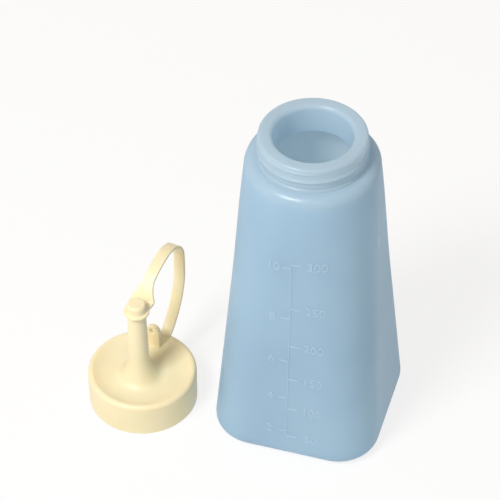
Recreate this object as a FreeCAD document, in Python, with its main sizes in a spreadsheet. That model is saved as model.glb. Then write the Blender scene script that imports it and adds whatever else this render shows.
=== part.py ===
"""Squeeze bottle with its screw cap set down beside it: the nozzle is closed by a tethered stopper."""
import FreeCAD, Part
import math
import os
import re
import Sketcher

# Driving sizes in millimetres and degrees
SIZES = (
    # Bottle body: a rounded square at the base that tapers to a round shoulder
    ("base_half", 32.6),
    ("base_corner", 15.75),
    ("base_round", 5.2),
    ("shoulder_height", 128.6),
    ("shoulder_half", 23.75),
    ("shoulder_flat", 0.5),
    ("shoulder_round", 4.3),
    ("bottle_wall", 1.1),
    ("push_up_radius", 21.5),
    ("push_up_depth", 1.4),
    # Bottle neck: the thread's core with a bead at its foot and a broad rounded lip
    ("neck_height", 10.4),
    ("neck_radius", 19.5),
    ("bead_radius", 20.2),
    ("bead_height", 0.8),
    ("mouth_radius", 14.5),
    ("lip_inner_round", 1.8),
    ("lip_outer_round", 1.1),
    # Cap: skirt, rolled rim and dished top
    ("cap_x", -62.9),
    ("cap_y", -16.55),
    ("cap_angle", -9.2),
    ("cap_radius", 21.2),
    ("cap_wall", 0.9),
    ("rim_height", 14.7),
    ("rim_round", 1.6),
    ("rim_turn", 27.0),
    ("dish_depth", 1.6),
    # Nozzle: off centre, away from the tether, swept up out of the dish
    ("nozzle_offset", 2.1),
    ("nozzle_height", 34.8),
    ("nozzle_radius", 4.0),
    ("nozzle_tip_radius", 3.5),
    ("flare_upper_bend", 20.0),
    ("flare_lower_bend", 4.2),
    ("flare_turn", 30.0),
    ("outlet_radius", 1.75),
    # Parking lug: upright eye behind the nozzle
    ("lug_back", 13.7),
    ("lug_side", -2.3),
    ("lug_thickness", 1.8),
    ("lug_half_width", 2.7),
    ("lug_height", 10.8),
    ("eye_radius", 1.4),
    # Sealing ring under the cap's ceiling
    ("ring_width", 6.4),
    ("ring_thickness", 1.9),
    ("ring_clearance", 0.3),
    # Stopper: disc, pull knob and plug, with a flared tab that runs into the tether
    ("disc_radius", 4.95),
    ("disc_thickness", 1.2),
    ("disc_edge_round", 0.4),
    ("knob_radius", 3.7),
    ("knob_height", 3.7),
    ("knob_round", 1.1),
    ("plug_length", 4.0),
    ("plug_radius", 1.45),
    ("plug_tip_radius", 0.9),
    ("tab_rise", 6.0),
    ("tab_half_width", 4.8),
    ("tab_back", 5.8),
    # Tether strap: a flat band that arches from the cap's rim over to the stopper
    ("strap_width", 4.4),
    ("strap_thickness", 1.1),
    ("strap_reach", 12.3),
    ("strap_top_bend", 12.2),
    ("strap_rise", 10.0),
    ("strap_straight", 6.1),
    ("strap_root_rise", 0.4),
    ("strap_root_out", -0.4),
    ("strap_root_depth", 3.2),
    ("strap_seam", 0.2),
    # One overrun serves every cut that has to pass a face
    ("overrun", 1.0),
)
NAMES = {name for name, _ in SIZES}

doc = FreeCAD.newDocument("squeeze_bottle")
sheet = doc.addObject("Spreadsheet::Sheet", "Sizes")
for row, (name, size) in enumerate(SIZES, start=1):
    sheet.set(f"A{row}", name)
    sheet.set(f"B{row}", str(size))
    sheet.setAlias(f"B{row}", name)
doc.recompute()


def cells(formula):
    """Point every size named in a formula at its cell of the sheet."""
    return re.sub(r"[a-z]\w*", lambda word: "Sizes." * (word[0] in NAMES) + word[0], formula)


def worth(formula):
    """The number that a formula gives now."""
    return float(sheet.evalExpression(cells(formula)))


def origin_feature(body, role):
    """A body's own origin plane."""
    return next(item for item in body.Origin.OriginFeatures if item.Role == role)


def new_body(name):
    """An empty body whose label names its file."""
    body = doc.addObject("PartDesign::Body", name)
    body.Label = name
    return body


def add_side(sketch, start, end, bend, turn):
    """One side of an outline; gives its number, its first and its last point."""
    if bend is None:
        return sketch.addGeometry(Part.LineSegment(start, end)), 1, 2
    left = turn == "left"
    radius = worth(bend)
    chord = end - start
    across = FreeCAD.Vector(-chord.y, chord.x, 0).normalize() * (1 if left else -1)
    depth = math.sqrt(max(radius ** 2 - chord.Length ** 2 / 4, 0))
    centre = (start + end) / 2 + across * depth
    first, last = (start, end) if left else (end, start)
    angles = [math.atan2(spot.y - centre.y, spot.x - centre.x) for spot in (first, last)]
    circle = Part.Circle(centre, FreeCAD.Vector(0, 0, 1), radius)
    side = sketch.addGeometry(Part.ArcOfCircle(circle, *angles))
    limit = sketch.addConstraint(Sketcher.Constraint("Radius", side, radius))
    sketch.setExpression(f"Constraints[{limit}]", cells(bend))
    return (side, 1, 2) if left else (side, 2, 1)


def pin_corner(sketch, side, point, corner):
    """Hold one corner of an outline at its two formulas."""
    for kind, axis, formula in (("DistanceX", -2, corner[0]), ("DistanceY", -1, corner[1])):
        if formula == "0":
            sketch.addConstraint(Sketcher.Constraint("PointOnObject", side, point, axis))
            continue
        limit = sketch.addConstraint(Sketcher.Constraint(kind, -1, 1, side, point, worth(formula)))
        sketch.setExpression(f"Constraints[{limit}]", cells(formula))


def outline(body, name, role, *loops, shift=None):
    """A sketch of closed loops. A corner is two formulas; an arc that ends there adds radius and turn."""
    sketch = body.newObject("Sketcher::SketchObject", name)
    sketch.AttachmentSupport = (origin_feature(body, role), [""])
    sketch.MapMode = "FlatFace"
    for axis, formula in (shift or {}).items():
        sketch.setExpression(f"AttachmentOffset.Base.{axis}", cells(formula))
    for loop in loops:
        spots = [FreeCAD.Vector(worth(corner[0]), worth(corner[1]), 0) for corner in loop]
        sides = []
        for number, corner in enumerate(loop):
            bend, turn = corner[2:] if len(corner) > 2 else (None, None)
            sides.append(add_side(sketch, spots[number - 1], spots[number], bend, turn))
        for number, corner in enumerate(loop):
            side, _, last = sides[number]
            after, first, _ = sides[(number + 1) % len(loop)]
            sketch.addConstraint(Sketcher.Constraint("Coincident", side, last, after, first))
            pin_corner(sketch, side, last, corner)
    return sketch


def feature(body, kind, name, profile, **settings):
    """A feature on a profile. Settings given as text are formulas."""
    made = body.newObject("PartDesign::" + kind, name)
    made.Profile = profile
    for key, setting in settings.items():
        if isinstance(setting, str):
            made.setExpression(key, cells(setting))
        else:
            setattr(made, key, setting)
    return made


def turned(body, kind, name, profile, **settings):
    """A revolution or groove about the profile's upright axis."""
    return feature(body, kind, name, profile, ReferenceAxis=(profile, ["V_Axis"]), **settings)


def rounded_square(half, corner):
    """A square outline with rounded corners."""
    flat = f"{half} - ({corner})"
    return (
        (half, flat),
        (flat, half, corner, "left"),
        (f"-({flat})", half),
        (f"-({half})", flat, corner, "left"),
        (f"-({half})", f"-({flat})"),
        (f"-({flat})", f"-({half})", corner, "left"),
        (flat, f"-({half})"),
        (half, f"-({flat})", corner, "left"),
    )


def level_edges(made, height):
    """Names of a feature's edges that lie level at a height."""
    def lies_there(edge):
        return all(abs(corner.Z - height) <= corner.Tolerance for corner in edge.Vertexes)
    return [f"Edge{number}" for number, edge in enumerate(made.Shape.Edges, start=1) if lies_there(edge)]


def tapered_block(body, inset, floor, ceiling, foot_round, head_round):
    """The bottle's tapered form, set in by a wall, from a floor to a ceiling, with both ends rounded."""
    slope = "(base_half - shoulder_half) / shoulder_height"
    low_half = f"base_half - ({inset}) - ({floor}) * {slope}"
    high_half = f"shoulder_half - ({inset}) + (shoulder_height - ({ceiling})) * {slope}"
    foot = outline(body, body.Name + "_foot", "XY_Plane",
                   rounded_square(low_half, f"base_corner - ({inset})"), shift={"z": floor})
    head = outline(body, body.Name + "_head", "XY_Plane",
                   rounded_square(high_half, f"{high_half} - shoulder_flat"), shift={"z": ceiling})
    block = feature(body, "AdditiveLoft", body.Name + "_taper", head, Sections=[foot], Ruled=True)
    doc.recompute()
    for height, bend in ((floor, foot_round), (ceiling, head_round)):
        rounding = body.newObject("PartDesign::Fillet", body.Name + "_round")
        rounding.Base = (block, level_edges(block, worth(height)))
        rounding.setExpression("Radius", cells(bend))
        doc.recompute()
        block = rounding
    return block


# Bottle, outside: tapered body, threaded neck's core and the push-up under its base
FLOOR = "bottle_wall + push_up_depth"
CEILING = "shoulder_height - bottle_wall"
NECK_TOP = "shoulder_height + neck_height"
bottle_outside = new_body("bottle_outside")
tapered_block(bottle_outside, "0", "0", "shoulder_height", "base_round", "shoulder_round")
neck = outline(
    bottle_outside, "neck_profile", "XZ_Plane",
    (
        ("0", CEILING),
        ("bead_radius", CEILING),
        ("bead_radius", "shoulder_height"),
        ("neck_radius", "shoulder_height + bead_height",
         "((bead_radius - neck_radius)^2 + bead_height^2) / (2 * (bead_radius - neck_radius))", "left"),
        ("neck_radius", f"{NECK_TOP} - lip_outer_round"),
        ("neck_radius - lip_outer_round", NECK_TOP, "lip_outer_round", "left"),
        ("0", NECK_TOP),
    ),
)
turned(bottle_outside, "Revolution", "neck", neck)
push_up = outline(
    bottle_outside, "push_up_profile", "XZ_Plane",
    (
        ("0", "-overrun"),
        ("push_up_radius", "-overrun"),
        ("push_up_radius", "0"),
        ("push_up_radius - push_up_depth", "push_up_depth", "push_up_depth", "left"),
        ("0", "push_up_depth"),
    ),
)
turned(bottle_outside, "Groove", "push_up", push_up)

# Bottle, inside: the same taper set in by the wall, and the mouth with its rounded lip
bottle_inside = new_body("bottle_inside")
tapered_block(bottle_inside, "bottle_wall", FLOOR, CEILING, "base_round - bottle_wall",
              "shoulder_round - bottle_wall")
mouth = outline(
    bottle_inside, "mouth_profile", "XZ_Plane",
    (
        ("0", f"{CEILING} - overrun"),
        ("mouth_radius", f"{CEILING} - overrun"),
        ("mouth_radius", f"{NECK_TOP} - lip_inner_round"),
        ("mouth_radius + lip_inner_round", NECK_TOP, "lip_inner_round", "right"),
        ("mouth_radius + lip_inner_round", f"{NECK_TOP} + overrun"),
        ("0", f"{NECK_TOP} + overrun"),
    ),
)
turned(bottle_inside, "Revolution", "mouth", mouth)
bottle = doc.addObject("Part::Cut", "bottle")
bottle.Base = bottle_outside
bottle.Tool = bottle_inside

# Cap: skirt with a rolled rim round a dished top
DISH = "rim_height - dish_depth"
CAP_CEILING = f"{DISH} - cap_wall"
CAP_BORE = "cap_radius - cap_wall"
RIM_CENTRE = "cap_radius - rim_round"
RIM_INNER = f"{RIM_CENTRE} - rim_round * sin(rim_turn)"
RIM_INNER_HEIGHT = "rim_height - rim_round * (1 - cos(rim_turn))"
DISH_BEND = f"({RIM_INNER_HEIGHT} - ({DISH})) / (1 - cos(rim_turn))"
screw_cap = new_body("screw_cap")
dish = outline(
    screw_cap, "dish_profile", "YZ_Plane",
    (
        ("0", "0"),
        ("cap_radius", "0"),
        ("cap_radius", "rim_height - rim_round"),
        (RIM_CENTRE, "rim_height", "rim_round", "left"),
        (RIM_INNER, RIM_INNER_HEIGHT, "rim_round", "left"),
        (f"{RIM_INNER} - {DISH_BEND} * sin(rim_turn)", DISH, DISH_BEND, "right"),
        ("0", DISH),
    ),
)
turned(screw_cap, "Revolution", "dish", dish)

# Nozzle: sweeps out of the dish in two tangent bends and tapers to its tip
NOZZLE_TOP = f"{DISH} + nozzle_height"
NOZZLE_AXIS = {"x": "-nozzle_offset"}


def flare(inset):
    """Three corners up the nozzle's flare, for its outside or for its channel, set in by a wall."""
    upper = f"(flare_upper_bend + {inset})"
    lower = f"(flare_lower_bend + {inset})"
    foot_out = "flare_upper_bend * (1 - cos(flare_turn)) + flare_lower_bend * cos(flare_turn)"
    top = f"{DISH} + flare_upper_bend * sin(flare_turn) + flare_lower_bend * (1 - sin(flare_turn))"
    side = f"nozzle_radius - ({inset})"
    return (
        (f"nozzle_radius + {foot_out}", f"{DISH} - ({inset})"),
        (f"{side} + {upper} * (1 - cos(flare_turn))", f"{top} - {upper} * sin(flare_turn)", lower, "right"),
        (side, top, upper, "right"),
    )


foot, waist, root = flare("0")
spout = outline(
    screw_cap, "nozzle_profile", "YZ_Plane",
    (
        ("0", CAP_CEILING),
        (foot[0], CAP_CEILING),
        foot,
        waist,
        root,
        ("nozzle_tip_radius", NOZZLE_TOP),
        ("0", NOZZLE_TOP),
    ),
    shift=NOZZLE_AXIS,
)
turned(screw_cap, "Revolution", "nozzle", spout)

# Parking lug: upright plate with a round top and an eye
EYE_HEIGHT = f"{DISH} + lug_height - lug_half_width"
lug_plate = outline(
    screw_cap, "lug_profile", "XZ_Plane",
    (
        ("-lug_half_width", CAP_CEILING),
        ("lug_half_width", CAP_CEILING),
        ("lug_half_width", EYE_HEIGHT),
        ("0", f"{DISH} + lug_height", "lug_half_width", "left"),
        ("-lug_half_width", EYE_HEIGHT, "lug_half_width", "left"),
    ),
    (
        ("0", f"{EYE_HEIGHT} + eye_radius", "eye_radius", "left"),
        ("-eye_radius", EYE_HEIGHT, "eye_radius", "left"),
        ("0", f"{EYE_HEIGHT} - eye_radius", "eye_radius", "left"),
        ("eye_radius", EYE_HEIGHT, "eye_radius", "left"),
    ),
    shift={"x": "lug_side", "z": "-lug_back"},
)
feature(screw_cap, "Pad", "lug", lug_plate, Length="lug_thickness", Reversed=True)

# Tether strap's line in its own upright plane, from the stopper's back over to the cap's back rim
DISC_TOP = f"{NOZZLE_TOP} + disc_thickness"
TAB_FOOT = "tab_back - nozzle_offset"
TAB_FOOT_HEIGHT = f"{NOZZLE_TOP} + disc_thickness / 2"
OUTERMOST = "cap_radius + strap_reach"
PEAK = f"({OUTERMOST} - strap_top_bend)"
PEAK_HEIGHT = f"({TAB_FOOT_HEIGHT} + strap_rise)"
FRONT_BEND = f"((({PEAK} - ({TAB_FOOT}))^2 + strap_rise^2) / (2 * strap_rise))"
KNEE_HEIGHT = f"({PEAK_HEIGHT} - strap_top_bend - strap_straight)"
ROOT = "(cap_radius + strap_root_out)"
ROOT_HEIGHT = "(rim_height + strap_root_rise)"
ROOT_IN = "(strap_reach - strap_root_out)"
ROOT_DROP = f"({KNEE_HEIGHT} - {ROOT_HEIGHT})"
BACK_BEND = f"(({ROOT_IN}^2 + {ROOT_DROP}^2) / (2 * {ROOT_IN}))"


def front_spot(angle, side):
    """A corner on the strap's front bend at an angle, half a thickness to one side of its line."""
    bend = f"({FRONT_BEND} + {side} * strap_thickness / 2)"
    return (f"{PEAK} - {bend} * cos({angle})", f"{PEAK_HEIGHT} - {FRONT_BEND} + {bend} * sin({angle})"), bend


def root_spot(side, depth):
    """A corner of the strap's root, half a thickness to one side, and pushed down along the strap."""
    rise = f"{ROOT_DROP} / {BACK_BEND}"
    run = f"({BACK_BEND} - {ROOT_IN}) / {BACK_BEND}"
    return (
        f"{ROOT} + {side} * strap_thickness / 2 * {run} - {depth} * {rise}",
        f"{ROOT_HEIGHT} - {side} * strap_thickness / 2 * {rise} - {depth} * {run}",
    )


# Strap root: the band's foot, moulded into the rim
root_stub = outline(
    screw_cap, "strap_root_profile", "YZ_Plane",
    (
        root_spot("1", "0"),
        root_spot("-1", "0"),
        root_spot("-1", "strap_root_depth"),
        root_spot("1", "strap_root_depth"),
    ),
)
feature(screw_cap, "Pad", "strap_root", root_stub, Length="strap_width", Midplane=True)

# Cap, inside: room for the bottle's neck, and the channel up the nozzle
cap_room = outline(
    screw_cap, "cap_room_profile", "YZ_Plane",
    (
        ("0", "-overrun"),
        (CAP_BORE, "-overrun"),
        (CAP_BORE, CAP_CEILING),
        ("0", CAP_CEILING),
    ),
)
turned(screw_cap, "Groove", "cap_room", cap_room)
foot, waist, root = flare("cap_wall")
channel = outline(
    screw_cap, "channel_profile", "YZ_Plane",
    (
        ("0", f"{CAP_CEILING} - overrun"),
        (foot[0], f"{CAP_CEILING} - overrun"),
        foot,
        waist,
        root,
        ("outlet_radius", NOZZLE_TOP),
        ("outlet_radius", f"{NOZZLE_TOP} + overrun"),
        ("0", f"{NOZZLE_TOP} + overrun"),
    ),
    shift=NOZZLE_AXIS,
)
turned(screw_cap, "Groove", "channel", channel)

# Sealing ring: soft washer that lies against the cap's ceiling
sealing_ring = new_body("sealing_ring")
RING_OUTER = f"{CAP_BORE} - ring_clearance"
RING_INNER = f"{RING_OUTER} - ring_width"
washer = outline(
    sealing_ring, "washer_profile", "YZ_Plane",
    (
        (RING_INNER, f"{CAP_CEILING} - ring_thickness"),
        (RING_OUTER, f"{CAP_CEILING} - ring_thickness"),
        (RING_OUTER, CAP_CEILING),
        (RING_INNER, CAP_CEILING),
    ),
)
turned(sealing_ring, "Revolution", "washer", washer)

# Stopper: flared tab first, trimmed to the strap's width, then the disc with its knob and plug
FOOT_ANGLE = f"asin(1 - strap_rise / {FRONT_BEND})"
TAB_ANGLE = f"asin(1 - (strap_rise - tab_rise) / {FRONT_BEND})"
SEAM_ANGLE = f"asin(1 - (strap_rise - tab_rise - strap_seam) / {FRONT_BEND})"
stopper = new_body("stopper")
low_in, inner_bend = front_spot(FOOT_ANGLE, "-1")
low_out, outer_bend = front_spot(FOOT_ANGLE, "1")
high_in, _ = front_spot(TAB_ANGLE, "-1")
high_out, _ = front_spot(TAB_ANGLE, "1")
tab_band = outline(
    stopper, "tab_profile", "YZ_Plane",
    (
        low_in,
        high_in + (inner_bend, "right"),
        high_out,
        low_out + (outer_bend, "left"),
    ),
)
feature(stopper, "Pad", "tab", tab_band, Length="2 * tab_half_width", Midplane=True)
TAB_TOP = f"{TAB_FOOT_HEIGHT} + tab_rise"


def beside_tab(sign):
    """What is trimmed off one side of the tab."""
    clear = f"{sign} * (tab_half_width + overrun)"
    return (
        (f"{sign} * strap_width / 2", f"{TAB_TOP} + overrun"),
        (f"{sign} * strap_width / 2", TAB_TOP),
        (f"{sign} * tab_half_width", DISC_TOP),
        (clear, DISC_TOP),
        (clear, f"{TAB_TOP} + overrun"),
    )


THROUGH_ALL = 1
tab_sides = outline(stopper, "tab_sides", "XZ_Plane", beside_tab("1"), beside_tab("-1"))
feature(stopper, "Pocket", "tab_trim", tab_sides, Type=THROUGH_ALL, Midplane=True)
tab_foot = outline(
    stopper, "tab_foot_outline", "XY_Plane",
    (
        ("-knob_radius", "-nozzle_offset"),
        ("knob_radius", "-nozzle_offset"),
        ("tab_half_width", f"{TAB_FOOT} + strap_thickness"),
        ("-tab_half_width", f"{TAB_FOOT} + strap_thickness"),
    ),
    shift={"z": NOZZLE_TOP},
)
feature(stopper, "Pad", "tab_foot", tab_foot, Length="disc_thickness")
KNOB_TOP = f"{DISC_TOP} + knob_height"
button = outline(
    stopper, "button_profile", "YZ_Plane",
    (
        ("0", f"{NOZZLE_TOP} - plug_length"),
        ("plug_tip_radius", f"{NOZZLE_TOP} - plug_length"),
        ("plug_radius", NOZZLE_TOP),
        ("disc_radius - disc_edge_round", NOZZLE_TOP),
        ("disc_radius", f"{NOZZLE_TOP} + disc_edge_round", "disc_edge_round", "left"),
        ("disc_radius", f"{DISC_TOP} - disc_edge_round"),
        ("disc_radius - disc_edge_round", DISC_TOP, "disc_edge_round", "left"),
        ("knob_radius", DISC_TOP),
        ("knob_radius", f"{KNOB_TOP} - knob_round"),
        ("knob_radius - knob_round", KNOB_TOP, "knob_round", "left"),
        ("0", KNOB_TOP),
    ),
    shift=NOZZLE_AXIS,
)
turned(stopper, "Revolution", "button", button)

# Tether strap: one flat band, from the stopper's tab to its root on the rim
tether_strap = new_body("tether_strap")
seam_in, _ = front_spot(SEAM_ANGLE, "-1")
seam_out, _ = front_spot(SEAM_ANGLE, "1")
band = outline(
    tether_strap, "band_profile", "YZ_Plane",
    (
        seam_out,
        (PEAK, f"{PEAK_HEIGHT} + strap_thickness / 2", outer_bend, "right"),
        (f"{OUTERMOST} + strap_thickness / 2", f"{PEAK_HEIGHT} - strap_top_bend",
         "strap_top_bend + strap_thickness / 2", "right"),
        (f"{OUTERMOST} + strap_thickness / 2", KNEE_HEIGHT),
        root_spot("1", "0") + (f"{BACK_BEND} + strap_thickness / 2", "right"),
        root_spot("-1", "0"),
        (f"{OUTERMOST} - strap_thickness / 2", KNEE_HEIGHT, f"{BACK_BEND} - strap_thickness / 2", "left"),
        (f"{OUTERMOST} - strap_thickness / 2", f"{PEAK_HEIGHT} - strap_top_bend"),
        (PEAK, f"{PEAK_HEIGHT} - strap_thickness / 2", "strap_top_bend - strap_thickness / 2", "left"),
        seam_in + (inner_bend, "left"),
    ),
)
feature(tether_strap, "Pad", "band", band, Length="strap_width", Midplane=True)

# The cap set stands beside the bottle, turned a little
for piece in (screw_cap, sealing_ring, stopper, tether_strap):
    piece.setExpression("Placement.Base.x", cells("cap_x"))
    piece.setExpression("Placement.Base.y", cells("cap_y"))
    piece.setExpression("Placement.Rotation.Angle", cells("cap_angle"))
doc.recompute()

# Every object has to be sound before anything is written
for item in doc.Objects:
    if "Invalid" in item.State or "Error" in item.State:
        raise RuntimeError(f"{item.Label} failed: {item.State}")
NODES = (bottle, screw_cap, sealing_ring, stopper, tether_strap)
for piece in NODES:
    if piece.Shape.isNull() or not piece.Shape.isValid():
        raise RuntimeError(f"{piece.Label} has no valid shape")
os.makedirs("parts", exist_ok=True)
for piece in NODES:
    piece.Shape.exportStep(f"parts/{piece.Label}.step")
    box = piece.Shape.BoundBox
    print(f"{piece.Label}: {len(piece.Shape.Solids)} solid, {piece.Shape.Volume:.1f} mm3,"
          f" {box.XLength:.2f} x {box.YLength:.2f} x {box.ZLength:.2f} mm")
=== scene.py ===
import bmesh
import bpy
import math
from mathutils import Matrix, Quaternion, Vector


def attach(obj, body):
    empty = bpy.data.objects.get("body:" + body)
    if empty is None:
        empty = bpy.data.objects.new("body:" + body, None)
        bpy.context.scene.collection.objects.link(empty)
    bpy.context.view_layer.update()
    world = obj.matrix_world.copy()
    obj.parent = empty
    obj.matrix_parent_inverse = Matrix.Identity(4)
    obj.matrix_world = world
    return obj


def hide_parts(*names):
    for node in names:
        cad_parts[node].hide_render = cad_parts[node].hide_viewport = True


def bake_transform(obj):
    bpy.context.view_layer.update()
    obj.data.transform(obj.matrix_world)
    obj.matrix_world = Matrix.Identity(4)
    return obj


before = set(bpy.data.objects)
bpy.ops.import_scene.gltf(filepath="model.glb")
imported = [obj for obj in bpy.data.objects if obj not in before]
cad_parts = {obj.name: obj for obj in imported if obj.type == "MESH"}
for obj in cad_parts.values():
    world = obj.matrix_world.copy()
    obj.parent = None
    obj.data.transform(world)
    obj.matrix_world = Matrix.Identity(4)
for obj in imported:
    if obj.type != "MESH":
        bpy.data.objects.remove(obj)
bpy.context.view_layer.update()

# Bottle
# A squeeze bottle blown in one piece from milky blue low-density polyethylene, thin and soft enough to
# squeeze. Its rounded-square foot has a shallow push-up and tapers to a round shoulder; the neck above
# it carries a coarse thread of two turns under a broad rolled lip.
MM = 0.001
WELD = 0.004 * MM
# Sizes are in millimetres; a vertex nearer than this to a surface lies on it
NEAR = 0.02
CREASE = math.radians(40)
ROUND_STEPS = 120
CORNER_STEPS, FLAT_CUTS = 22, 7
WALL_CUTS, INNER_WALL_CUTS = 23, 7
# Levels of the wall outside and inside: half the width, the radius of the corners, and the height
FOOT = (32.6, 15.75, 0.0)
HEAD = (23.75, 23.25, 128.6)
INNER_FOOT = (31.328, 14.65, 2.5)
INNER_HEAD = (22.726, 22.226, 127.5)
# Width of the rounding at each level, along the wall from the edge to where the rounding ends
ROUNDINGS = ((FOOT, 5.55), (HEAD, 3.5), (INNER_FOOT, 4.35), (INNER_HEAD, 2.95))
ROUNDING_STEPS, EDGE_ROOM = 8, 1.0
PUSH_UP_RADIUS, PUSH_UP_DEPTH, PUSH_UP_STEPS = 21.5, 1.4, 6
FLOOR_RADIUS = 18.0
NECK_RADIUS, NECK_TOP, NECK_ROWS = 19.5, 139.0, 44
BEAD_RADIUS, BEAD_HEIGHT, BEAD_CURVE = 20.2, 0.8, [(20.13, 128.95), (19.9, 129.22)]
MOUTH_RADIUS = 14.5
LIP_OUTER, LIP_OUTER_STEPS = 1.1, 8
LIP_INNER, LIP_INNER_STEPS = 1.8, 10


def add_start(add, **settings):
    """Add a primitive with nothing else selected, put its place in its mesh, and go on to edit it."""
    bpy.ops.object.select_all(action="DESELECT")
    add(**settings)
    bpy.ops.object.transform_apply(location=True, rotation=True, scale=True)
    bpy.ops.object.mode_set(mode="EDIT")
    bpy.ops.mesh.select_mode(type="VERT")
    bpy.ops.mesh.select_all(action="SELECT")
    return bpy.context.object


def pick(piece, kind, test):
    """While a piece is edited, select those of its vertices or edges that pass a test."""
    bpy.ops.mesh.select_mode(type=kind)
    bpy.ops.mesh.select_all(action="DESELECT")
    shape = bmesh.from_edit_mesh(piece.data)
    for part in {"VERT": shape.verts, "EDGE": shape.edges}[kind]:
        if test(part):
            part.select_set(True)
    bmesh.update_edit_mesh(piece.data)


def choose(*pieces):
    """Select these pieces alone, and make the first of them active."""
    bpy.ops.object.select_all(action="DESELECT")
    for piece in pieces:
        piece.select_set(True)
    bpy.context.view_layer.objects.active = pieces[0]


def join(*pieces):
    """Make several pieces one."""
    choose(*pieces)
    bpy.ops.object.join()
    return pieces[0]


def square_ring(half, corner, height):
    """A level of the bottle: a square outline whose corners are rounded, as one ring of edges."""
    ring = add_start(bpy.ops.mesh.primitive_plane_add, size=2 * half * MM, location=(0, 0, height * MM))
    bpy.ops.mesh.bevel(offset=corner * MM, segments=CORNER_STEPS, affect="VERTICES")
    bpy.ops.mesh.select_all(action="SELECT")
    bpy.ops.mesh.delete(type="ONLY_FACE")

    def on_side(edge):
        return any(all(abs(abs(end.co[axis]) - half * MM) < WELD for end in edge.verts) for axis in (0, 1))
    pick(ring, "EDGE", on_side)
    bpy.ops.mesh.subdivide(number_cuts=FLAT_CUTS)
    bpy.ops.object.mode_set(mode="OBJECT")
    return ring


def round_ring(radius, height, axis=(0.0, 0.0)):
    """A round ring of edges about an upright axis."""
    ring = add_start(bpy.ops.mesh.primitive_circle_add, vertices=ROUND_STEPS, radius=radius * MM,
                     location=(axis[0] * MM, axis[1] * MM, height * MM))
    bpy.ops.object.mode_set(mode="OBJECT")
    return ring


def band(low, high, cuts=0):
    """The wall between two rings."""
    wall = join(low, high)
    bpy.ops.object.mode_set(mode="EDIT")
    bpy.ops.mesh.select_all(action="SELECT")
    bpy.ops.mesh.bridge_edge_loops(number_cuts=cuts, interpolation="LINEAR")
    bpy.ops.object.mode_set(mode="OBJECT")
    return wall


def arc(centre, radius, first, last, steps):
    """Points of a profile along an arc, from one angle to another in degrees."""
    turns = [math.radians(first + (last - first) * step / steps) for step in range(steps + 1)]
    return [(centre[0] + radius * math.cos(turn), centre[1] + radius * math.sin(turn)) for turn in turns]


def run(first, last, steps):
    """Points of a profile along a straight run."""
    return [tuple(a + (b - a) * step / steps for a, b in zip(first, last)) for step in range(steps + 1)]


def turned(profile, axis=(0.0, 0.0)):
    """Draw a profile of radius and height in millimetres, point by point, and spin it about an axis."""
    piece = add_start(bpy.ops.mesh.primitive_plane_add, size=MM)
    bpy.ops.mesh.merge(type="CENTER")
    last = Vector((0, 0, 0))
    for number, (radius, height) in enumerate(profile):
        spot = Vector((axis[0] + radius, axis[1], height)) * MM
        if number == 0:
            bpy.ops.transform.translate(value=spot - last)
        else:
            bpy.ops.mesh.extrude_vertices_move(TRANSFORM_OT_translate={"value": spot - last})
        last = spot
    bpy.ops.mesh.select_all(action="SELECT")
    bpy.ops.mesh.spin(steps=ROUND_STEPS, angle=math.tau, axis=(0, 0, 1),
                      center=(axis[0] * MM, axis[1] * MM, 0))
    bpy.ops.object.mode_set(mode="OBJECT")
    return piece


def close_up(piece, name):
    """Weld the seams of the active piece, turn its faces outwards and name it."""
    bpy.ops.object.mode_set(mode="EDIT")
    bpy.ops.mesh.select_mode(type="VERT")
    bpy.ops.mesh.select_all(action="SELECT")
    bpy.ops.mesh.remove_doubles(threshold=WELD)
    bpy.ops.mesh.normals_make_consistent(inside=False)
    bpy.ops.object.mode_set(mode="OBJECT")
    piece.name = piece.data.name = name


def smooth(piece):
    """Shade a piece smooth, but for its sharp edges."""
    choose(piece)
    bpy.ops.object.shade_smooth_by_angle(angle=CREASE)


neck_profile = (
    [(BEAD_RADIUS, HEAD[2])] + BEAD_CURVE
    + run((NECK_RADIUS, HEAD[2] + BEAD_HEIGHT), (NECK_RADIUS, NECK_TOP - LIP_OUTER), NECK_ROWS)
    + arc((NECK_RADIUS - LIP_OUTER, NECK_TOP - LIP_OUTER), LIP_OUTER, 0, 90, LIP_OUTER_STEPS)[1:]
    + arc((MOUTH_RADIUS + LIP_INNER, NECK_TOP - LIP_INNER), LIP_INNER, 90, 180, LIP_INNER_STEPS)
    + [(MOUTH_RADIUS, INNER_HEAD[2])]
)
push_up_profile = (
    arc((PUSH_UP_RADIUS, PUSH_UP_DEPTH), PUSH_UP_DEPTH, 270, 180, PUSH_UP_STEPS) + [(0, PUSH_UP_DEPTH)]
)
bottle = join(
    band(square_ring(*FOOT), square_ring(*HEAD), cuts=WALL_CUTS),
    band(square_ring(*HEAD), round_ring(BEAD_RADIUS, HEAD[2])),
    band(square_ring(*FOOT), round_ring(PUSH_UP_RADIUS, FOOT[2])),
    band(square_ring(*INNER_FOOT), square_ring(*INNER_HEAD), cuts=INNER_WALL_CUTS),
    band(square_ring(*INNER_HEAD), round_ring(MOUTH_RADIUS, INNER_HEAD[2])),
    band(square_ring(*INNER_FOOT), round_ring(FLOOR_RADIUS, INNER_FOOT[2])),
    turned(push_up_profile),
    turned([(FLOOR_RADIUS, INNER_FOOT[2]), (0, INNER_FOOT[2])]),
    turned(neck_profile),
)
close_up(bottle, "bottle_shell")
bpy.ops.object.mode_set(mode="EDIT")
for level, width in ROUNDINGS:
    inner_limit = (level[0] - EDGE_ROOM) * MM

    def on_level(edge):
        return all(abs(end.co.z - level[2] * MM) < WELD and end.co.xy.length > inner_limit
                   for end in edge.verts)
    pick(bottle, "EDGE", on_level)
    bpy.ops.mesh.bevel(offset=width * MM, segments=ROUNDING_STEPS, affect="EDGES")
bpy.ops.object.mode_set(mode="OBJECT")

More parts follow.
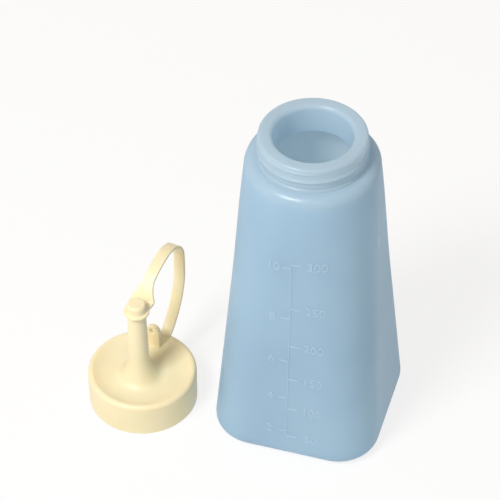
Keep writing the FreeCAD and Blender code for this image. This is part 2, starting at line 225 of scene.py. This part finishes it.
# The thread stands on the neck's wall: a rounded ridge that climbs to the right and dies away at both
# ends, which are given in turns from the front; the lip above it spreads a little
THREAD_PITCH, THREAD_HEIGHT, THREAD_HALF_WIDTH = 3.8, 0.7, 1.15
THREAD_FRONT_HEIGHT = 133.1
THREAD_START, THREAD_END, THREAD_FADE = -0.72, 1.12, 0.14
LIP_SPREAD = 0.016


def ridge(turns, height, start, end):
    """How far a thread stands out at a place: its height, scaled by its round section and its ends."""
    tallest = 0.0
    for lap in range(-2, 3):
        along = turns + lap
        off = abs(height - THREAD_PITCH * along) / THREAD_HALF_WIDTH
        fade = min((along - start) / THREAD_FADE, (end - along) / THREAD_FADE, 1.0)
        if off < 1 and fade > 0:
            ease = math.sin(fade * math.pi / 2) ** 2
            tallest = max(tallest, THREAD_HEIGHT * ease * math.cos(off * math.pi / 2) ** 2)
    return tallest


for vertex in bottle.data.vertices:
    radius, height = vertex.co.xy.length / MM, vertex.co.z / MM
    if abs(radius - NECK_RADIUS) < NEAR and HEAD[2] + BEAD_HEIGHT < height < NECK_TOP - LIP_OUTER:
        turns = math.atan2(vertex.co.x, -vertex.co.y) / math.tau
        out = ridge(turns, height - THREAD_FRONT_HEIGHT, THREAD_START, THREAD_END)
        vertex.co.xy *= (radius + out) / radius
    elif NECK_RADIUS - LIP_OUTER < radius < NECK_RADIUS + NEAR and height > HEAD[2]:
        vertex.co.xy *= 1 + LIP_SPREAD

# The wall swells a little below the shoulder
SWELL, SWELL_FOOT, SWELL_TOP = 0.024, 70.0, 120.0
for vertex in bottle.data.vertices:
    height = vertex.co.z / MM
    if height < HEAD[2] + NEAR and vertex.co.xy.length > (BEAD_RADIUS + NEAR) * MM:
        rise = min(max((height - SWELL_FOOT) / (SWELL_TOP - SWELL_FOOT), 0), 1)
        vertex.co.xy *= 1 + SWELL * rise * rise * (3 - 2 * rise)
smooth(bottle)


def linear(hex_colour):
    """An sRGB hex colour as linear red, green and blue, with full alpha."""
    parts = [int(hex_colour[at:at + 2], 16) / 255 for at in (1, 3, 5)]
    return [part / 12.92 if part <= 0.04045 else ((part + 0.055) / 1.055) ** 2.4 for part in parts] + [1.0]


def add_node(tree, kind, sockets, **settings):
    """Add a node with its settings; a socket takes a value, or the output that feeds it."""
    made = tree.nodes.new("ShaderNode" + kind)
    for name, value in settings.items():
        setattr(made, name, value)
    for name, value in sockets.items():
        if isinstance(value, bpy.types.NodeSocket):
            tree.links.new(value, made.inputs[name])
        else:
            made.inputs[name].default_value = value
    return made


def new_material(name):
    """An empty material; gives it, its node tree and its object coordinates."""
    material = bpy.data.materials.new(name)
    material.use_nodes = True
    material.node_tree.nodes.clear()
    place = add_node(material.node_tree, "TexCoord", {})
    return material, material.node_tree, place.outputs["Object"]


def show(tree, shader):
    """Send a shader to the material's surface."""
    add_node(tree, "OutputMaterial", {"Surface": shader.outputs[0]})


NECK_GREY, GREY_FOOT, GREY_TOP = "#CDDFEA", 123, 130


def milky_polyethylene(name, pale, deep, clear):
    """Milky blown polyethylene: a share of the light goes through the cloudy wall, and its satin skin has
    a fine grain from the blasted mould and slow waves where the wall cooled unevenly."""
    material, tree, place = new_material(name)
    # Clouds some 38 mm across, as uneven as the wall's thickness
    clouds = add_node(tree, "TexNoise", {"Vector": place, "Scale": 1 / (38 * MM), "Detail": 2.0})
    colour = add_node(tree, "ValToRGB", {"Fac": clouds.outputs["Fac"]})
    colour.color_ramp.elements[0].position, colour.color_ramp.elements[0].color = 0.34, linear(deep)
    colour.color_ramp.elements[1].position, colour.color_ramp.elements[1].color = 0.68, linear(pale)
    # The neck's wall is thicker and looks greyer
    spot = add_node(tree, "SeparateXYZ", {"Vector": place})
    neck = add_node(tree, "MapRange", {
        "Value": spot.outputs["Z"], "From Min": GREY_FOOT * MM, "From Max": GREY_TOP * MM})
    tone = add_node(tree, "Mix", {"Factor": neck.outputs["Result"], "A": colour.outputs["Color"],
                                  "B": linear(NECK_GREY)}, data_type="RGBA")
    # The mould's grain is about 0.2 mm and drawn at 0.7 mm so that it shows; the waves are 16 mm apart
    grain = add_node(tree, "TexNoise", {"Vector": place, "Scale": 1 / (0.7 * MM), "Detail": 1.0})
    waves = add_node(tree, "TexNoise", {"Vector": place, "Scale": 1 / (16 * MM), "Detail": 1.0})
    wavy = add_node(tree, "Bump", {"Height": waves.outputs["Fac"], "Distance": 0.35 * MM, "Strength": 0.5})
    grainy = add_node(tree, "Bump", {"Height": grain.outputs["Fac"], "Distance": 0.02 * MM, "Strength": 0.5,
                                     "Normal": wavy.outputs["Normal"]})
    gloss = add_node(tree, "MapRange", {"Value": clouds.outputs["Fac"], "To Min": 0.22, "To Max": 0.3})
    shader = add_node(tree, "BsdfPrincipled", {
        "Base Color": tone.outputs["Result"], "Roughness": gloss.outputs["Result"],
        "Normal": grainy.outputs["Normal"], "IOR": 1.51})
    through = add_node(tree, "BsdfTranslucent", {"Color": tone.outputs["Result"]})
    show(tree, add_node(tree, "MixShader", {"Fac": clear, 1: shader.outputs[0], 2: through.outputs[0]}))
    return material


bottle_plastic = milky_polyethylene("low_density_polyethylene_milky", "#C3E0F4", "#BBD9F0", 0.5)
bottle.data.materials.append(bottle_plastic)
# Light comes through the wall from all round. The inside walls are painted paler and greyer than the skin, a
# painted glow that stands for that light
inside_plastic_painted_glow = milky_polyethylene("low_density_polyethylene_inside_painted_glow", "#F0F1EE", "#E8EAE8", 0.6)
bottle.data.materials.append(inside_plastic_painted_glow)
# The faces of the inner wall, the floor and the ceiling take the painted glow
FACING_IN, FACING_LEVEL = 0.25, 0.7
for face in bottle.data.polygons:
    height = face.center.z / MM
    inward = -face.normal.xy.dot(face.center.xy) / max(face.center.xy.length, WELD)
    on_floor = face.normal.z > FACING_LEVEL and height < HEAD[2] / 2
    on_ceiling = face.normal.z < -FACING_LEVEL and height > HEAD[2] / 2
    within = INNER_FOOT[2] - NEAR < height < INNER_HEAD[2] + NEAR
    if within and (inward > FACING_IN or on_floor or on_ceiling):
        face.material_index = 1
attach(bottle, "bottle")
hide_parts("bottle")

# Scale
# A double scale raised by the mould on the front face: one upright line with ticks to both sides, and a
# plain number beside each tick. It stands a fifth of a millimetre proud and bends with the wall.
MARKS_PLANE = -45.0
FACING = (math.pi / 2, 0, 0)
LINE_AT, LINE_WIDTH, LINE_FOOT, LINE_TOP, LINE_CUTS = -0.33, 0.3, 12.5, 98.4, 11
TICK_HEIGHT, TICK_RIGHT, TICK_LEFT, TICK_CUTS = 0.5, 3.6, -3.6, 5
RIGHT_MARKS = ((50, 11.75), (100, 26.0), (150, 41.35), (200, 58.1), (250, 76.55), (300, 98.15))
LEFT_MARKS = ((2, 14.15), (4, 31.4), (6, 50.3), (8, 71.45), (10, 96.1))
NUMBER_SIZE, NUMBER_STEPS, RIGHT_NUMBER_AT, LEFT_NUMBER_AT = 5.2, 4, 9.2, -7.0
# Thickness of the marks, and the share of it that stands proud, where -1 is none and 1 is all
MARK_THICKNESS, MARK_PROUD = 0.3, 0.25


def mark_bar(left, right, low, high, cuts):
    """A flat bar in front of the bottle's face."""
    bar = add_start(bpy.ops.mesh.primitive_plane_add, size=MM, rotation=FACING)
    bpy.ops.transform.resize(value=(right - left, 1, high - low), center_override=(0, 0, 0))
    bpy.ops.transform.translate(value=((left + right) / 2 * MM, MARKS_PLANE * MM, (low + high) / 2 * MM))
    bpy.ops.mesh.subdivide(number_cuts=cuts)
    bpy.ops.object.mode_set(mode="OBJECT")
    return bar


def mark_tick(left, right, height):
    """A tick across the scale's line at a height."""
    return mark_bar(left, right, height - TICK_HEIGHT / 2, height + TICK_HEIGHT / 2, TICK_CUTS)


def mark_number(number, across, height):
    """A plain number in front of the bottle's face, as a flat mesh."""
    bpy.ops.object.select_all(action="DESELECT")
    bpy.ops.object.text_add(location=(across * MM, MARKS_PLANE * MM, height * MM), rotation=FACING)
    text = bpy.context.object
    text.data.body = str(number)
    text.data.size = NUMBER_SIZE * MM
    text.data.align_x, text.data.align_y = "CENTER", "CENTER"
    text.data.resolution_u = NUMBER_STEPS
    bpy.ops.object.convert(target="MESH")
    bpy.ops.object.transform_apply(location=True, rotation=True, scale=True)
    return bpy.context.object


marks = [mark_bar(LINE_AT - LINE_WIDTH / 2, LINE_AT + LINE_WIDTH / 2, LINE_FOOT, LINE_TOP, LINE_CUTS)]
for number, height in RIGHT_MARKS:
    marks.append(mark_tick(LINE_AT, TICK_RIGHT, height))
    marks.append(mark_number(number, RIGHT_NUMBER_AT, height))
for number, height in LEFT_MARKS:
    marks.append(mark_tick(TICK_LEFT, LINE_AT, height))
    marks.append(mark_number(number, LEFT_NUMBER_AT, height))
scale = join(*marks)
scale.name = scale.data.name = "scale_marks"


def modify(piece, kind, **settings):
    """Add a modifier to a piece and apply it."""
    choose(piece)
    modifier = piece.modifiers.new(kind.lower(), kind)
    for name, value in settings.items():
        setattr(modifier, name, value)
    bpy.ops.object.modifier_apply(modifier=modifier.name)


# The flat marks are pressed back onto the wall and given their thickness there
modify(scale, "SHRINKWRAP", target=bottle, wrap_method="PROJECT", use_project_y=True,
       use_positive_direction=True, use_negative_direction=False)
modify(scale, "SOLIDIFY", thickness=MARK_THICKNESS * MM, offset=MARK_PROUD)
# The marks are of the bottle's own plastic, painted paler than the wall: a painted highlight on the raised
# marks
mark_plastic_painted_highlight = milky_polyethylene("low_density_polyethylene_raised_painted_highlight", "#D0E7F6", "#C9E2F3", 0.35)
scale.data.materials.clear()
scale.data.materials.append(mark_plastic_painted_highlight)
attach(scale, "bottle")

# Cap
# An injection-moulded screw cap of cream polyethylene. A rolled rim goes round a dished top, and the dish
# sweeps up into the pouring nozzle, which stands off centre; an upright lug with an eye parks the stopper.
CAP_AXIS, CAP_TURN = (-62.9, -16.55), math.radians(9.2)
TOWARDS_STRAP = (math.sin(CAP_TURN), math.cos(CAP_TURN))
NOZZLE_BACK = -2.1


def cap_spot(back, aside, height):
    """A place on the cap set in millimetres: back towards the strap, aside to the right of that, and up."""
    return Vector((CAP_AXIS[0] + back * TOWARDS_STRAP[0] + aside * TOWARDS_STRAP[1],
                   CAP_AXIS[1] + back * TOWARDS_STRAP[1] - aside * TOWARDS_STRAP[0], height))


NOZZLE_AXIS = tuple(cap_spot(NOZZLE_BACK, 0, 0))[:2]
SKIRT_RADIUS, BORE_RADIUS = 21.2, 20.3
EDGE_ROUND, EDGE_STEPS = 0.35, 4
RIM_CENTRE, RIM_ROUND, RIM_TURN, RIM_STEPS = (19.6, 13.1), 1.6, 27, 16
DISH_FLAT, DISH_HEIGHT, DISH_BEND, DISH_STEPS, CEILING = 12.94, 13.1, 13.08, 14, 12.2
# The thread's part of the bore: from this high, and to this far below the ceiling
BORE_FOOT, BORE_HEAD_ROOM, BORE_ROWS = 1.0, 1.4, 36
# The dish sweeps up in a tight lower bend and a wide upper one, which meet at this angle
FLARE_FOOT, FLARE_TURN, FLARE_STEPS, CAP_WALL = 10.317, 210, 12, 0.9
LOWER_CENTRE, LOWER_BEND, LOWER_STEPS = (10.317, 17.3), 4.2, 14
UPPER_CENTRE, UPPER_BEND = (24.0, 25.2), 20.0
TIP_RADIUS, TIP_HEIGHT, OUTLET_RADIUS, TIP_ROUND = 3.5, 47.9, 1.75, 0.3
rim_profile = (
    arc((DISH_FLAT, DISH_HEIGHT + DISH_BEND), DISH_BEND, 270, 270 + RIM_TURN, DISH_STEPS)
    + arc(RIM_CENTRE, RIM_ROUND, 90 + RIM_TURN, 0, RIM_STEPS)[1:]
    + arc((SKIRT_RADIUS - EDGE_ROUND, EDGE_ROUND), EDGE_ROUND, 0, -90, EDGE_STEPS)
    + arc((BORE_RADIUS + EDGE_ROUND, EDGE_ROUND), EDGE_ROUND, 270, 180, EDGE_STEPS)
    + run((BORE_RADIUS, BORE_FOOT), (BORE_RADIUS, CEILING - BORE_HEAD_ROOM), BORE_ROWS)
    + [(BORE_RADIUS, CEILING)]
)
nozzle_profile = (
    arc(LOWER_CENTRE, LOWER_BEND, 270, FLARE_TURN, LOWER_STEPS)
    + arc(UPPER_CENTRE, UPPER_BEND, FLARE_TURN, 180, FLARE_STEPS)[1:]
    + arc((TIP_RADIUS - TIP_ROUND, TIP_HEIGHT - TIP_ROUND), TIP_ROUND, 0, 90, EDGE_STEPS)
    + [(OUTLET_RADIUS, TIP_HEIGHT)]
    + arc(UPPER_CENTRE, UPPER_BEND + CAP_WALL, 180, FLARE_TURN, FLARE_STEPS)
    + arc(LOWER_CENTRE, LOWER_BEND + CAP_WALL, FLARE_TURN, 270, FLARE_STEPS)[1:]
)
cap = join(
    turned(rim_profile, CAP_AXIS),
    turned(nozzle_profile, NOZZLE_AXIS),
    band(round_ring(DISH_FLAT, DISH_HEIGHT, CAP_AXIS), round_ring(FLARE_FOOT, DISH_HEIGHT, NOZZLE_AXIS)),
    band(round_ring(BORE_RADIUS, CEILING, CAP_AXIS), round_ring(FLARE_FOOT, CEILING, NOZZLE_AXIS)),
)
close_up(cap, "cap_shell")

# The cap's own thread stands inwards from its bore
CAP_THREAD_MIDDLE, CAP_THREAD_START, CAP_THREAD_END = 4.2, -0.6, 1.0
for vertex in cap.data.vertices:
    place = vertex.co / MM
    off = Vector((place.x - CAP_AXIS[0], place.y - CAP_AXIS[1]))
    in_rows = BORE_FOOT - NEAR < place.z < CEILING - BORE_HEAD_ROOM + NEAR
    if in_rows and abs(off.length - BORE_RADIUS) < NEAR:
        turns = math.atan2(off.x, -off.y) / math.tau
        off *= -ridge(turns, place.z - CAP_THREAD_MIDDLE, CAP_THREAD_START, CAP_THREAD_END) / off.length
        vertex.co.xy += off * MM

# The lug grows from the ring of its eye: widened to the round top, its lower half drawn down into the
# cap's top, and then given its thickness
LUG_FRONT, LUG_SIDE, LUG_TOP, LUG_HALF_WIDTH = 13.7, -2.3, 23.9, 2.7
LUG_THICKNESS, LUG_EDGE, LUG_EDGE_STEPS = 1.8, 0.3, 3
EYE_RADIUS, EYE_STEPS = 1.4, 40
facing_back = Matrix((
    (TOWARDS_STRAP[1], 0, -TOWARDS_STRAP[0]), (-TOWARDS_STRAP[0], 0, -TOWARDS_STRAP[1]), (0, 1, 0)))
eye = cap_spot(LUG_FRONT, LUG_SIDE, LUG_TOP - LUG_HALF_WIDTH) * MM
lug = add_start(bpy.ops.mesh.primitive_circle_add, vertices=EYE_STEPS, radius=EYE_RADIUS * MM,
                location=eye, rotation=facing_back.to_euler())
bpy.ops.mesh.extrude_edges_move()
bpy.ops.transform.resize(value=[LUG_HALF_WIDTH / EYE_RADIUS] * 3, center_override=eye)


def under_eye(spot):
    """Whether a vertex lies on the lower half of the lug's outline."""
    return (spot.co - eye).length > (LUG_HALF_WIDTH - NEAR) * MM and spot.co.z < eye.z - WELD


pick(lug, "VERT", under_eye)
bpy.ops.transform.resize(value=(1, 1, 0), center_override=(0, 0, (CEILING + CAP_WALL / 2) * MM))
bpy.ops.mesh.select_all(action="SELECT")
lug_depth = Vector((*TOWARDS_STRAP, 0)) * LUG_THICKNESS * MM
bpy.ops.mesh.extrude_region_move(TRANSFORM_OT_translate={"value": lug_depth})
bpy.ops.object.mode_set(mode="OBJECT")
close_up(lug, "lug")
modify(lug, "BEVEL", width=LUG_EDGE * MM, segments=LUG_EDGE_STEPS, limit_method="ANGLE")
modify(cap, "BOOLEAN", operation="UNION", object=lug, solver="EXACT")
bpy.data.objects.remove(lug)
smooth(cap)


def cream_polyethylene():
    """Cream moulded polyethylene: an even satin skin, faintly cloudy, that lets a little light in."""
    material, tree, place = new_material("polyethylene_cream_moulded")
    # Clouds some 14 mm across, where the melt flowed together
    clouds = add_node(tree, "TexNoise", {"Vector": place, "Scale": 1 / (14 * MM), "Detail": 2.0})
    colour = add_node(tree, "ValToRGB", {"Fac": clouds.outputs["Fac"]})
    colour.color_ramp.elements[0].position, colour.color_ramp.elements[0].color = 0.3, linear("#F1E2BA")
    colour.color_ramp.elements[1].position, colour.color_ramp.elements[1].color = 0.7, linear("#F5E8C5")
    # The mould's grain is about 0.15 mm and drawn at 0.5 mm so that it shows
    grain = add_node(tree, "TexNoise", {"Vector": place, "Scale": 1 / (0.5 * MM), "Detail": 1.0})
    bump = add_node(tree, "Bump", {"Height": grain.outputs["Fac"], "Distance": 0.015 * MM, "Strength": 0.5})
    gloss = add_node(tree, "MapRange", {"Value": clouds.outputs["Fac"], "To Min": 0.38, "To Max": 0.48})
    shader = add_node(tree, "BsdfPrincipled", {
        "Base Color": colour.outputs["Color"], "Roughness": gloss.outputs["Result"],
        "Normal": bump.outputs["Normal"], "IOR": 1.53, "Subsurface Weight": 0.35,
        "Subsurface Radius": (1.0, 0.7, 0.35), "Subsurface Scale": 1.8 * MM})
    show(tree, shader)
    return material


cap_plastic = cream_polyethylene()
cap.data.materials.clear()
cap.data.materials.append(cap_plastic)
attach(cap, "cap")
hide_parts("screw_cap")

# Sealing ring
# A washer punched from soft pale silicone sheet and pressed up against the cap's ceiling. It keeps its
# plain solid; the sheet's matt skin has a dusty grain of about 0.8 mm.
silicone, tree, place = new_material("silicone_sheet_pale")
dust = add_node(tree, "TexNoise", {"Vector": place, "Scale": 1 / (0.8 * MM), "Detail": 3.0})
colour = add_node(tree, "ValToRGB", {"Fac": dust.outputs["Fac"]})
colour.color_ramp.elements[0].color = linear("#D6D6D1")
colour.color_ramp.elements[1].color = linear("#E2E2DD")
bump = add_node(tree, "Bump", {"Height": dust.outputs["Fac"], "Distance": 0.02 * MM, "Strength": 0.4})
show(tree, add_node(tree, "BsdfPrincipled", {
    "Base Color": colour.outputs["Color"], "Roughness": 0.7, "Normal": bump.outputs["Normal"], "IOR": 1.41}))
ring_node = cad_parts["sealing_ring"]
ring_node.data.materials.clear()
ring_node.data.materials.append(silicone)

# Stopper
# A small moulded disc that closes the nozzle: a pull knob stands on it, and a tapered plug under it goes
# into the outlet. It is one moulding with the strap, of the cap's own cream polyethylene.
DISC_RADIUS, DISC_TOP, DISC_EDGE, DISC_STEPS = 4.95, 49.1, 0.4, 5
KNOB_RADIUS, KNOB_TOP, KNOB_FOOT, KNOB_ROUND, KNOB_STEPS = 3.7, 52.8, 0.5, 1.1, 8
PLUG_RADIUS, PLUG_TIP, PLUG_END, PLUG_CHAMFER = 1.45, 0.9, 43.9, 0.3
stopper_profile = (
    [(0, PLUG_END), (PLUG_TIP - PLUG_CHAMFER, PLUG_END), (PLUG_TIP, PLUG_END + PLUG_CHAMFER)]
    + [(PLUG_RADIUS, TIP_HEIGHT)]
    + arc((DISC_RADIUS - DISC_EDGE, TIP_HEIGHT + DISC_EDGE), DISC_EDGE, 270, 360, DISC_STEPS)
    + arc((DISC_RADIUS - DISC_EDGE, DISC_TOP - DISC_EDGE), DISC_EDGE, 0, 90, DISC_STEPS)
    + arc((KNOB_RADIUS + KNOB_FOOT, DISC_TOP + KNOB_FOOT), KNOB_FOOT, 270, 180, DISC_STEPS)
    + arc((KNOB_RADIUS - KNOB_ROUND, KNOB_TOP - KNOB_ROUND), KNOB_ROUND, 0, 90, KNOB_STEPS)
    + [(0, KNOB_TOP)]
)
stopper = turned(stopper_profile, NOZZLE_AXIS)
close_up(stopper, "stopper_button")
smooth(stopper)
stopper.data.materials.append(cap_plastic)
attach(stopper, "stopper")
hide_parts("stopper")

# Strap
# The flexible band that ties the stopper to the cap's rim, moulded with both. It is a flat strip that
# arches over, and near the stopper it flares and bends down level into the back of the disc.
STRAP_HALF_WIDTH, STRAP_THICKNESS, STRAP_EDGE, STRAP_EDGE_STEPS = 2.2, 1.1, 0.25, 2
# Its line, back from the cap's axis and up: level on the disc, a tight bend, and three arcs to the root
TAB_START, TAB_START_STEPS = (-0.5, 48.5), 5
TAB_CENTRE, TAB_BEND, TAB_LEAN, TAB_STEPS = (2.98, 49.8), 1.3, -32.8, 8
FRONT_CENTRE, FRONT_BEND, FRONT_START, FRONT_STEPS = (21.3, 38.01), 20.49, 147.2, 30
TOP_CENTRE, TOP_BEND, TOP_STEPS = (21.3, 46.3), 12.2, 22
BACK_CENTRE, BACK_BEND, BACK_END, BACK_STEPS = (2.35, 40.2), 31.15, -53.7, 24
ROOT_DEPTH, ROOT_STEPS = 3.2, 4
ACROSS_STEPS = 12
# Half widths on the disc and at the tab's foot, which narrows to the strap between two heights
DISC_HALF_WIDTH, TAB_HALF_WIDTH, TAB_FOOT, TAB_TOP, TAB_EASE = 4.0, 4.8, 49.1, 54.5, 1.25
STOPPER_TURN, TURN_FADE = math.radians(6.5), 3
back_arc = arc(BACK_CENTRE, BACK_BEND, 0, BACK_END, BACK_STEPS)
root, root_turn = back_arc[-1], math.radians(BACK_END)
root_end = (root[0] + ROOT_DEPTH * math.sin(root_turn), root[1] - ROOT_DEPTH * math.cos(root_turn))
strap_line = (
    run(TAB_START, (TAB_CENTRE[0], TAB_START[1]), TAB_START_STEPS)
    + arc(TAB_CENTRE, TAB_BEND, -90, TAB_LEAN, TAB_STEPS)[1:]
    + arc(FRONT_CENTRE, FRONT_BEND, FRONT_START, 90, FRONT_STEPS)
    + arc(TOP_CENTRE, TOP_BEND, 90, 0, TOP_STEPS)[1:]
    + back_arc
    + run(root, root_end, ROOT_STEPS)[1:]
)
strap_rows = len(strap_line) - 1
strap = add_start(bpy.ops.mesh.primitive_grid_add, x_subdivisions=ACROSS_STEPS, y_subdivisions=strap_rows,
                  size=1)
bpy.ops.object.mode_set(mode="OBJECT")
# The flat grid's rows are laid along the strap's line, each at its own width; the stopper's end is turned
# a little about the nozzle, and the turn dies away up to the arch
for vertex in strap.data.vertices:
    back, height = strap_line[round((vertex.co.y + 0.5) * strap_rows)]
    half, twist = STRAP_HALF_WIDTH, 0.0
    if back < TAB_CENTRE[0]:
        inward = (TAB_CENTRE[0] - back) / (TAB_CENTRE[0] - TAB_START[0])
        half, twist = TAB_HALF_WIDTH + (DISC_HALF_WIDTH - TAB_HALF_WIDTH) * inward, STOPPER_TURN
    elif back < FRONT_CENTRE[0] and height > BACK_CENTRE[1]:
        down = min(max((TAB_TOP - height) / (TAB_TOP - TAB_FOOT), 0), 1)
        half += (TAB_HALF_WIDTH - STRAP_HALF_WIDTH) * down ** TAB_EASE
        twist = STOPPER_TURN * ((FRONT_CENTRE[0] - back) / (FRONT_CENTRE[0] - TAB_CENTRE[0])) ** TURN_FADE
    reach, aside = back - NOZZLE_BACK, vertex.co.x * 2 * half
    vertex.co = cap_spot(NOZZLE_BACK + reach * math.cos(twist) + aside * math.sin(twist),
                         aside * math.cos(twist) - reach * math.sin(twist), height) * MM
modify(strap, "SOLIDIFY", thickness=STRAP_THICKNESS * MM, offset=0)
close_up(strap, "strap_band")
modify(strap, "BEVEL", width=STRAP_EDGE * MM, segments=STRAP_EDGE_STEPS, limit_method="ANGLE")
smooth(strap)
strap.data.materials.append(cap_plastic)
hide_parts("tether_strap")
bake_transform(strap)

# Floor
# A plain pale sheet that the bottle and the cap stand on. To the camera it is nearly white by itself, and
# it still takes the soft shadows.
FLOOR_SIZE, SHEET_GLOW = 6.0, 0.8
floor_sheet = add_start(bpy.ops.mesh.primitive_plane_add, size=FLOOR_SIZE)
bpy.ops.object.mode_set(mode="OBJECT")
floor_sheet.name = "floor"


def seen_directly(tree):
    """An output that is 1 for the camera, and for what gloss and clear material show it, and else 0."""
    rays = add_node(tree, "LightPath", {}).outputs
    seen = add_node(tree, "Math", {0: rays["Is Camera Ray"], 1: rays["Is Glossy Ray"]}, operation="ADD")
    seen = add_node(tree, "Math", {0: seen.outputs[0], 1: rays["Is Transmission Ray"]}, operation="ADD")
    return seen.outputs[0]


# Matt paper with fibres of about 3 mm
paper, tree, place = new_material("paper_sheet_white")
fibres = add_node(tree, "TexNoise", {"Vector": place, "Scale": 1 / (3 * MM), "Detail": 2.0})
tint = add_node(tree, "ValToRGB", {"Fac": fibres.outputs["Fac"]})
tint.color_ramp.elements[0].color = linear("#F4F4F3")
tint.color_ramp.elements[1].color = linear("#FAFAFA")
matt = add_node(tree, "BsdfDiffuse", {"Color": tint.outputs["Color"]})
bright = add_node(tree, "Emission", {"Color": linear("#FFFFFF"), "Strength": 1.0})
share = add_node(tree, "Math", {0: seen_directly(tree), 1: SHEET_GLOW}, operation="MULTIPLY")
sheet_look = add_node(tree, "MixShader", {"Fac": share.outputs[0], 1: matt.outputs[0], 2: bright.outputs[0]})
show(tree, sheet_look)
floor_sheet.data.materials.append(paper)

# Light
# Soft studio light: one panel high on the left towards the front, and an even surround, which lights the
# object in a slightly warm grey and looks white to the camera.
world = bpy.data.worlds.new("surround")
world.use_nodes = True
tree = world.node_tree
tree.nodes.clear()
level = add_node(tree, "ValToRGB", {"Fac": seen_directly(tree)})
level.color_ramp.elements[0].color = linear("#B4AC9F")
level.color_ramp.elements[1].color = linear("#FFFFFF")
surround = add_node(tree, "Background", {"Color": level.outputs["Color"], "Strength": 1.0})
add_node(tree, "OutputWorld", {"Surface": surround.outputs[0]})
bpy.context.scene.world = world
PANEL_PLACE, PANEL_TARGET = Vector((-0.312, -0.574, 0.915)), Vector((-0.02, 0, 0.06))
PANEL_SIZE, PANEL_POWER = 0.32, 8.7
lamp = bpy.data.lights.new("key_panel", "AREA")
lamp.shape, lamp.size, lamp.energy = "SQUARE", PANEL_SIZE, PANEL_POWER
panel = bpy.data.objects.new("key_panel", lamp)
panel.location = PANEL_PLACE
panel.rotation_mode = "QUATERNION"
panel.rotation_quaternion = (PANEL_TARGET - PANEL_PLACE).to_track_quat("-Z", "Y")
bpy.context.scene.collection.objects.link(panel)

# Camera
# A long lens from the front, well above the bottle, tilted a touch like the photograph.
CAMERA_PLACE, CAMERA_LOOK = Vector((0.1742, -0.6526, 0.7467)), Vector((-0.2067, 0.6815, -0.7021))
CAMERA_ROLL, CAMERA_LENS = math.radians(-0.42), 184.3
lens = bpy.data.cameras.new("camera")
lens.lens = CAMERA_LENS
camera = bpy.data.objects.new("camera", lens)
camera.location = CAMERA_PLACE
camera.rotation_mode = "QUATERNION"
camera.rotation_quaternion = CAMERA_LOOK.to_track_quat("-Z", "Y") @ Quaternion((0, 0, 1), CAMERA_ROLL)
bpy.context.scene.collection.objects.link(camera)
bpy.context.scene.camera = camera
bpy.context.scene.view_settings.view_transform = "Standard"
